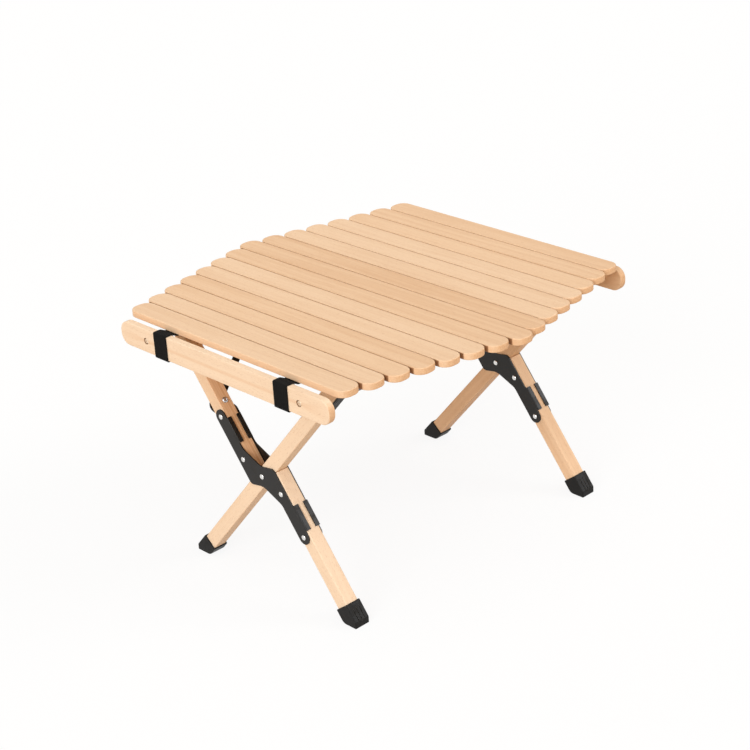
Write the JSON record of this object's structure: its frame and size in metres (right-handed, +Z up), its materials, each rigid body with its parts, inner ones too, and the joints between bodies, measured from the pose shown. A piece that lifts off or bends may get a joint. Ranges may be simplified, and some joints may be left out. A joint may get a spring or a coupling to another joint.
{
  "type": "folding camp table",
  "caption": "Low folding camp table with a roll-up slatted wooden top on webbing, two upright end boards, and crossing wooden legs with black steel scissor plates and foot caps.",
  "frame": {"origin": "on the floor under the middle of the slatted top", "axes": "+Z up, +Y along the row of slats from the near end board to the far one, +X along the slats, towards the split legs' feet"},
  "size_m": [0.6232, 0.6456, 0.407],
  "materials": {
    "beech": "satin",
    "black_steel": "satin",
    "bright_steel": "satin",
    "webbing": "matte",
    "black_plastic": "satin"
  },
  "bodies": {
    "full_frame": {"corner_bolt_full_far": "bright_steel", "corner_bolt_full_near": "bright_steel", "corner_plate_full_far": "black_steel", "corner_plate_full_near": "black_steel", "foot_cap_full_far": "black_plastic", "foot_cap_full_near": "black_plastic", "leg_full_far": "beech", "leg_full_near": "beech", "side_rail_full": "beech"},
    "split_frame": {"brace_bolt_split_leg_far": "bright_steel", "brace_bolt_split_leg_near": "bright_steel", "brace_bolt_split_rail_far": "bright_steel", "brace_bolt_split_rail_near": "bright_steel", "foot_cap_split_far": "black_plastic", "foot_cap_split_near": "black_plastic", "leg_split_lower_far": "beech", "leg_split_lower_near": "beech", "leg_split_upper_far": "beech", "leg_split_upper_near": "beech", "pivot_pin_far": "bright_steel", "pivot_pin_near": "bright_steel", "scissor_plate_far_back": "black_steel", "scissor_plate_far_front": "black_steel", "scissor_plate_near_back": "black_steel", "scissor_plate_near_front": "black_steel", "scissor_rivet_far_1": "bright_steel", "scissor_rivet_far_2": "bright_steel", "scissor_rivet_far_3": "bright_steel", "scissor_rivet_far_4": "bright_steel", "scissor_rivet_near_1": "bright_steel", "scissor_rivet_near_2": "bright_steel", "scissor_rivet_near_3": "bright_steel", "scissor_rivet_near_4": "bright_steel", "side_brace_split_far": "black_steel", "side_brace_split_near": "black_steel", "side_rail_split": "beech"},
    "top_middle": {"slat_08": "beech", "strap_left": "webbing", "strap_right": "webbing"},
    "slat_07_body": {"slat_07": "beech"},
    "slat_06_body": {"slat_06": "beech"},
    "slat_05_body": {"slat_05": "beech"},
    "slat_04_body": {"slat_04": "beech"},
    "slat_03_body": {"slat_03": "beech"},
    "slat_02_body": {"slat_02": "beech"},
    "slat_01_body": {"slat_01": "beech"},
    "slat_09_body": {"slat_09": "beech"},
    "slat_10_body": {"slat_10": "beech"},
    "slat_11_body": {"slat_11": "beech"},
    "slat_12_body": {"slat_12": "beech"},
    "slat_13_body": {"slat_13": "beech"},
    "slat_14_body": {"slat_14": "beech"},
    "slat_15_body": {"slat_15": "beech"},
    "end_board_near_body": {"end_board_near": "beech", "end_board_screw_near_left": "bright_steel", "end_board_screw_near_right": "bright_steel"},
    "end_board_far_body": {"end_board_far": "beech", "end_board_screw_far_left": "bright_steel", "end_board_screw_far_right": "bright_steel"}
  },
  "joints": [
    {"name": "frame_fold", "type": "hinge", "parent": "full_frame", "child": "split_frame", "pos_m": [0.017, 0, 0.1922], "axis": [0, 1, 0], "range_deg": [0, 70]},
    {"name": "top_lift", "type": "slide", "parent": "full_frame", "child": "top_middle", "axis": [0, 0, 1], "range_m": [0, 0.9], "deforming": ["strap_left", "strap_right"]},
    {"name": "slat_07_hinge", "type": "hinge", "parent": "top_middle", "child": "slat_07_body", "pos_m": [0, -0.02, 0.3942], "axis": [1, 0, 0], "range_deg": [0, 20.5]},
    {"name": "slat_06_hinge", "type": "hinge", "parent": "slat_07_body", "child": "slat_06_body", "pos_m": [0, -0.06, 0.3942], "axis": [1, 0, 0], "range_deg": [0, 20.5]},
    {"name": "slat_05_hinge", "type": "hinge", "parent": "slat_06_body", "child": "slat_05_body", "pos_m": [0, -0.1, 0.3942], "axis": [1, 0, 0], "range_deg": [0, 20.5]},
    {"name": "slat_04_hinge", "type": "hinge", "parent": "slat_05_body", "child": "slat_04_body", "pos_m": [0, -0.14, 0.3942], "axis": [1, 0, 0], "range_deg": [0, 20.5]},
    {"name": "slat_03_hinge", "type": "hinge", "parent": "slat_04_body", "child": "slat_03_body", "pos_m": [0, -0.18, 0.3942], "axis": [1, 0, 0], "range_deg": [0, 20.5]},
    {"name": "slat_02_hinge", "type": "hinge", "parent": "slat_03_body", "child": "slat_02_body", "pos_m": [0, -0.22, 0.3942], "axis": [1, 0, 0], "range_deg": [0, 20.5]},
    {"name": "slat_01_hinge", "type": "hinge", "parent": "slat_02_body", "child": "slat_01_body", "pos_m": [0, -0.26, 0.3942], "axis": [1, 0, 0], "range_deg": [0, 20.5]},
    {"name": "end_board_near_hinge", "type": "hinge", "parent": "slat_01_body", "child": "end_board_near_body", "pos_m": [0, -0.30833, 0.396], "axis": [-1, 0, 0], "range_deg": [0, 65]},
    {"name": "slat_09_hinge", "type": "hinge", "parent": "top_middle", "child": "slat_09_body", "pos_m": [0, 0.02, 0.3942], "axis": [-1, 0, 0], "range_deg": [0, 20.5]},
    {"name": "slat_10_hinge", "type": "hinge", "parent": "slat_09_body", "child": "slat_10_body", "pos_m": [0, 0.06, 0.3942], "axis": [-1, 0, 0], "range_deg": [0, 20.5]},
    {"name": "slat_11_hinge", "type": "hinge", "parent": "slat_10_body", "child": "slat_11_body", "pos_m": [0, 0.1, 0.3942], "axis": [-1, 0, 0], "range_deg": [0, 20.5]},
    {"name": "slat_12_hinge", "type": "hinge", "parent": "slat_11_body", "child": "slat_12_body", "pos_m": [0, 0.14, 0.3942], "axis": [-1, 0, 0], "range_deg": [0, 20.5]},
    {"name": "slat_13_hinge", "type": "hinge", "parent": "slat_12_body", "child": "slat_13_body", "pos_m": [0, 0.18, 0.3942], "axis": [-1, 0, 0], "range_deg": [0, 20.5]},
    {"name": "slat_14_hinge", "type": "hinge", "parent": "slat_13_body", "child": "slat_14_body", "pos_m": [0, 0.22, 0.3942], "axis": [-1, 0, 0], "range_deg": [0, 20.5]},
    {"name": "slat_15_hinge", "type": "hinge", "parent": "slat_14_body", "child": "slat_15_body", "pos_m": [0, 0.26, 0.3942], "axis": [-1, 0, 0], "range_deg": [0, 20.5]},
    {"name": "end_board_far_hinge", "type": "hinge", "parent": "slat_15_body", "child": "end_board_far_body", "pos_m": [0, 0.30833, 0.396], "axis": [1, 0, 0], "range_deg": [0, 65]}
  ],
  "couplings": [
    {"joint": "top_lift", "follows": "frame_fold", "m_per_rad": 0.7366},
    {"joint": "slat_07_hinge", "follows": "frame_fold", "ratio": 0.2928},
    {"joint": "slat_06_hinge", "follows": "frame_fold", "ratio": 0.2928},
    {"joint": "slat_05_hinge", "follows": "frame_fold", "ratio": 0.2928},
    {"joint": "slat_04_hinge", "follows": "frame_fold", "ratio": 0.2928},
    {"joint": "slat_03_hinge", "follows": "frame_fold", "ratio": 0.2928},
    {"joint": "slat_02_hinge", "follows": "frame_fold", "ratio": 0.2928},
    {"joint": "slat_01_hinge", "follows": "frame_fold", "ratio": 0.2928},
    {"joint": "end_board_near_hinge", "follows": "frame_fold", "ratio": 0.9285},
    {"joint": "slat_09_hinge", "follows": "frame_fold", "ratio": 0.2928},
    {"joint": "slat_10_hinge", "follows": "frame_fold", "ratio": 0.2928},
    {"joint": "slat_11_hinge", "follows": "frame_fold", "ratio": 0.2928},
    {"joint": "slat_12_hinge", "follows": "frame_fold", "ratio": 0.2928},
    {"joint": "slat_13_hinge", "follows": "frame_fold", "ratio": 0.2928},
    {"joint": "slat_14_hinge", "follows": "frame_fold", "ratio": 0.2928},
    {"joint": "slat_15_hinge", "follows": "frame_fold", "ratio": 0.2928},
    {"joint": "end_board_far_hinge", "follows": "frame_fold", "ratio": 0.9285}
  ]
}
